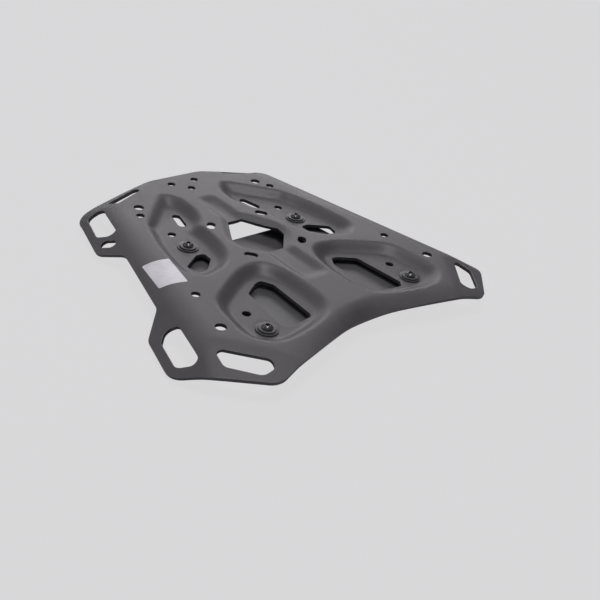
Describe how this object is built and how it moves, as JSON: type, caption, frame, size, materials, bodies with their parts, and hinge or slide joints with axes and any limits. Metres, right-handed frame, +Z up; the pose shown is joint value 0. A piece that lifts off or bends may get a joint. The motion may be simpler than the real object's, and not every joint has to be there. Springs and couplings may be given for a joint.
{
  "type": "motorcycle luggage rack",
  "caption": "Pressed sheet luggage rack plate with pockets, lashing openings and bolt holes, screwed through spacers to a flat adapter plate.",
  "frame": {"origin": "on the adapter plate's underside, in the middle of the four fixing screws", "axes": "+X across the vehicle to its right-hand side, +Y forward to the seat, +Z up"},
  "size_m": [0.4158, 0.3453, 0.0276],
  "materials": {
    "rack_powder_coat": "fine-textured satin powder coat",
    "adapter_paint": "satin",
    "washer_black": "satin",
    "spacer_black": "satin",
    "screw_black": "black zinc, semi-gloss",
    "nut_steel": "zinc plated"
  },
  "bodies": {
    "root": {"rack_plate": "rack_powder_coat", "adapter_plate": "adapter_paint", "wide_washer_rear_right": "washer_black", "narrow_washer_rear_right": "washer_black", "spacer_rear_right": "spacer_black", "screw_rear_right": "screw_black", "nut_rear_right": "nut_steel", "wide_washer_rear_left": "washer_black", "narrow_washer_rear_left": "washer_black", "spacer_rear_left": "spacer_black", "screw_rear_left": "screw_black", "nut_rear_left": "nut_steel", "wide_washer_front_right": "washer_black", "narrow_washer_front_right": "washer_black", "spacer_front_right": "spacer_black", "screw_front_right": "screw_black", "nut_front_right": "nut_steel", "wide_washer_front_left": "washer_black", "narrow_washer_front_left": "washer_black", "spacer_front_left": "spacer_black", "screw_front_left": "screw_black", "nut_front_left": "nut_steel"}
  },
  "joints": []
}
